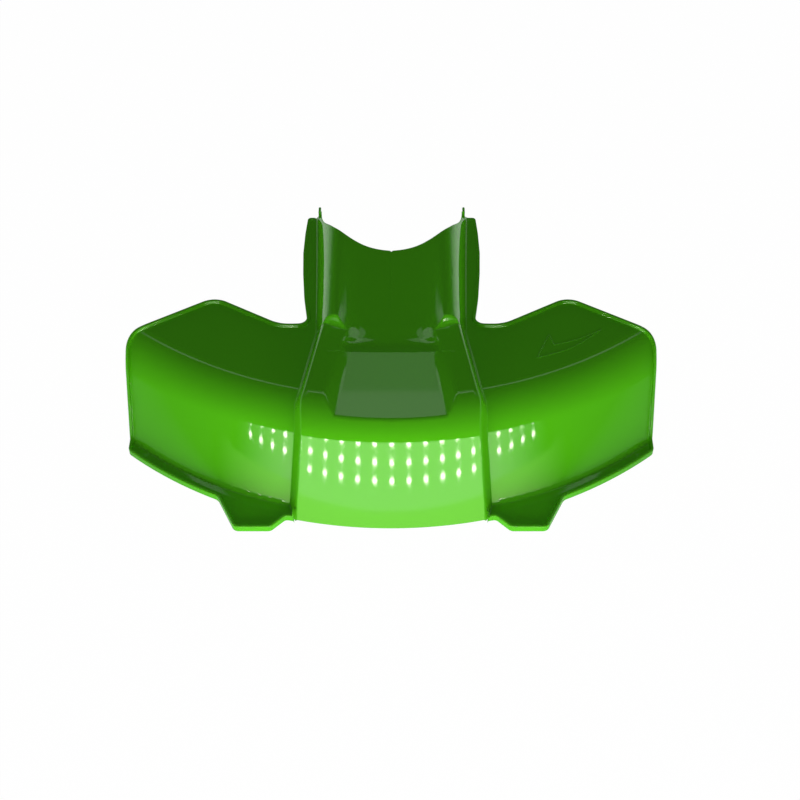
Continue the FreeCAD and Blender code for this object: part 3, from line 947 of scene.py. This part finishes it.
class GUARD_OT_stage(bpy.types.Operator):
    """Sets the floor, the lamps and the camera"""

    bl_idname = "guard.stage"
    bl_label = "Stage"

    def execute(self, context):
        scene = context.scene
        self.camera(scene)
        self.floor(scene.guard_colours)
        self.lamps(scene.guard_colours)
        for card in CARDS:
            self.card(*card)
        self.lamp_rows()
        self.surroundings(scene)
        scene.view_settings.view_transform = "Standard"
        return {"FINISHED"}

    def camera(self, scene):
        camera = bpy.data.cameras.new("camera")
        camera.sensor_width = SENSOR
        camera.lens = SENSOR * FOCAL_PIXELS / IMAGE_PIXELS
        scene.camera = add_piece("camera", camera)
        leaning = Matrix.Translation(VIEW_TARGET) @ Matrix.Rotation(VIEW_LEAN, 4, "X")
        scene.camera.matrix_world = leaning @ Matrix.Translation((0.0, 0.0, VIEW_DISTANCE))

    def floor(self, colours):
        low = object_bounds()[0][2] - FLOOR_GAP
        corners = [(x * FLOOR_HALF, y * FLOOR_HALF, low) for x, y in ((-1, -1), (1, -1), (1, 1), (-1, 1))]
        mesh = new_mesh("floor", corners, [(0, 1, 2, 3)])
        material, tree, shader = new_material("pale_floor")
        shader.inputs["Base Color"].default_value = linear("#B8B8B6")
        shader.inputs["Roughness"].default_value = 0.9
        # White to the camera. It lights the outward faces from below, more so in front. Mirrored, it fades
        # with the distance in front and is pale behind.
        ray = add_node(tree, "ShaderNodeLightPath").outputs
        place = add_node(tree, "ShaderNodeTexCoord").outputs["Object"]
        axes = add_node(tree, "ShaderNodeSeparateXYZ", [(place, 0)]).outputs
        away = add_node(tree, "ShaderNodeVectorMath", [(place, 0)], operation="LENGTH").outputs["Value"]
        aside = add_node(tree, "ShaderNodeMath", [(axes["X"], 0)], operation="ABSOLUTE")
        ahead = add_node(tree, "ShaderNodeMath", [(aside, 0), (0.5, 1), (axes["Y"], 2)],
                         operation="MULTIPLY_ADD")
        strength = {}
        for name, values in (
                ("lit", (ahead, *FLOOR_LIT_SPAN, FLOOR_LIT, colours.floor_glow)),
                ("near", (away, *NEAR_SPAN, *NEAR_GLOW)),
                ("mirrored", (axes["Y"], *BEHIND_SPAN, "near", BEHIND_GLOW)),
                ("unseen", (ray["Is Glossy Ray"], 0.0, 1.0, "lit", "mirrored")),
                ("floor", (ray["Is Camera Ray"], 0.0, 1.0, "unseen", FLOOR_WHITE))):
            known = [strength[value] if isinstance(value, str) else value for value in values]
            strength[name] = add_node(tree, "ShaderNodeMapRange", zip(known, RANGE), **SMOOTH)
        glow = add_node(tree, "ShaderNodeEmission", [(strength["floor"], "Strength")])
        show(tree, add_node(tree, "ShaderNodeMixShader", [(0.96, "Fac"), (shader, 1), (glow, 2)]))
        mesh.materials.append(material)
        add_piece("floor", mesh)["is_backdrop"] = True

    def lamps(self, colours):
        bar_place = BAR_AIM + BAR_DISTANCE * Vector((0, -math.cos(BAR_RISE), math.sin(BAR_RISE)))
        for name, place, aim, size, power in (
                ("lamp_bar", bar_place, BAR_AIM, BAR_SIZE, colours.key_power),
                ("soft_top", Vector(TOP_PLACE), Vector(TOP_AIM), TOP_SIZE, colours.top_power)):
            data = bpy.data.lights.new(name, "AREA")
            data.shape, data.size, data.size_y, data.energy = "RECTANGLE", *size, power
            lamp = add_piece(name, data)
            lamp.location = place
            lamp.rotation_euler = (aim - place).to_track_quat("-Z", "Y").to_euler()
            lamp.visible_camera = lamp.visible_glossy = False

    def glow(self, name, hex_colour, strength):
        """A glowing material, its tree and its emission node."""
        material, tree, shader = new_material(name)
        tree.nodes.remove(shader)
        glow = add_node(tree, "ShaderNodeEmission", [(linear(hex_colour), "Color"), (strength, "Strength")])
        show(tree, glow)
        return material, tree, glow

    def card(self, name, half_width, depth, heights, hex_colour, strength):
        """An upright glowing strip that only the gloss sees. In front it is bowed down at its ends."""
        bow = BOARD_BOW if depth < 0 else 0.0
        columns = [half_width * k / 8 for k in range(-8, 9)]
        corners = [(x, depth, z - bow * x * x) for z in heights for x in columns]
        count = len(columns)
        faces = [(i, i + 1, count + i + 1, count + i) for i in range(count - 1)]
        mesh = new_mesh(name, corners, faces)
        material, tree, glow = self.glow(name, hex_colour, strength)
        place = add_node(tree, "ShaderNodeTexCoord").outputs["Object"]
        axes = add_node(tree, "ShaderNodeSeparateXYZ", [(place, 0)]).outputs
        across = add_node(tree, "ShaderNodeMath", [(axes["X"], 0)], operation="ABSOLUTE")
        fade = add_node(tree, "ShaderNodeMapRange", zip(
            (across, CARD_FADE * half_width, half_width, strength, 0.0), RANGE), **SMOOTH)
        tree.links.new(fade.outputs[0], glow.inputs["Strength"])
        mesh.materials.append(material)
        self.only_in_gloss(add_piece(name, mesh))

    def only_in_gloss(self, piece):
        piece.visible_camera = piece.visible_diffuse = piece.visible_shadow = False
        piece.visible_transmission = piece.visible_volume_scatter = False
        piece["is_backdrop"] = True

    def lamp_rows(self):
        """Rows of small lamps on a board, instanced on a grid by geometry nodes."""
        tree, given = open_group("lamp_rows", {
            "Columns": "Int", "Rows": "Int", "Width": "Float", "Height": "Float", "Lamp size": "Float",
            "Glow": "Material"})
        grid = add_node(tree, "GeometryNodeMeshGrid", [
            (given["Width"], "Size X"), (given["Height"], "Size Y"),
            (given["Columns"], "Vertices X"), (given["Rows"], "Vertices Y")])
        lamp = add_node(tree, "GeometryNodeMeshCircle", [(given["Lamp size"], "Radius")], fill_type="NGON")
        spread = add_node(tree, "GeometryNodeInstanceOnPoints", [
            (grid, "Points"), (lamp, "Instance"), (LAMP_SHAPE, "Scale")])
        close_group(tree, spread, given["Glow"])
        glow = self.glow("lamp_glow", LAMP_COLOUR, LAMP_STRENGTH)[0]
        empty = bpy.data.meshes.new("lamps")
        lamps = piece_from_nodes("lamp_rows", empty, tree, {**LAMP_ROWS, "Glow": glow})
        lamps.data.transform(Matrix.Translation(LAMP_PLACE) @ Matrix.Rotation(math.pi / 2, 4, "X"))
        for vertex in lamps.data.vertices:
            vertex.co.z -= BOARD_BOW * vertex.co.x ** 2
        self.only_in_gloss(lamps)

    def surroundings(self, scene):
        """Pale walls low down at the sides and behind; dark above and in front; white to the camera."""
        colours = scene.guard_colours
        scene.world = bpy.data.worlds.new("studio")
        scene.world.use_nodes = True
        tree = scene.world.node_tree
        background = tree.nodes["Background"]
        background.inputs["Color"].default_value = (1, 1, 1, 1)
        way = add_node(tree, "ShaderNodeTexCoord").outputs["Generated"]
        axes = add_node(tree, "ShaderNodeSeparateXYZ", [(way, 0)]).outputs
        low, back = (add_node(tree, "ShaderNodeMapRange", zip((axis, *span), RANGE), **SMOOTH)
                     for axis, span in ((axes["Z"], WALL_LOW), (axes["Y"], WALL_BACK)))
        both = add_node(tree, "ShaderNodeMath", [(low, 0), (back, 1)], operation="MULTIPLY")
        walls = add_node(tree, "ShaderNodeMath", [(both, 0), (colours.walls, 1), (colours.fill, 2)],
                         operation="MULTIPLY_ADD")
        ray = add_node(tree, "ShaderNodeLightPath").outputs["Is Camera Ray"]
        strength = add_node(tree, "ShaderNodeMapRange", [(ray, "Value"), (walls, "To Min"), (1.0, "To Max")])
        tree.links.new(strength.outputs["Result"], background.inputs["Strength"])


class GUARD_PT_panel(bpy.types.Panel):
    """Lists the guard's pieces and sizes in the sidebar"""

    bl_idname = "GUARD_PT_panel"
    bl_label = "Blade guard"
    bl_space_type = "VIEW_3D"
    bl_region_type = "UI"
    bl_category = "Guard"

    def draw(self, context):
        for operator in STEPS:
            self.layout.operator(operator.bl_idname)
        for group in (context.scene.guard_sizes, context.scene.guard_colours):
            for key in type(group).__annotations__:
                self.layout.prop(group, key)


STEPS = (GUARD_OT_skin, GUARD_OT_ribs, GUARD_OT_arrow, GUARD_OT_stage)
CLASSES = (GuardSizes, GuardColours) + STEPS + (GUARD_PT_panel,)


def register():
    for cls in CLASSES:
        bpy.utils.register_class(cls)
    bpy.types.Scene.guard_sizes = PointerProperty(type=GuardSizes)
    bpy.types.Scene.guard_colours = PointerProperty(type=GuardColours)


def unregister():
    del bpy.types.Scene.guard_colours
    del bpy.types.Scene.guard_sizes
    for cls in reversed(CLASSES):
        bpy.utils.unregister_class(cls)


def main():
    register()
    bpy.ops.guard.skin()
    bpy.ops.guard.ribs()
    bpy.ops.guard.arrow()
    bpy.ops.guard.stage()


if __name__ == "__main__":
    main()
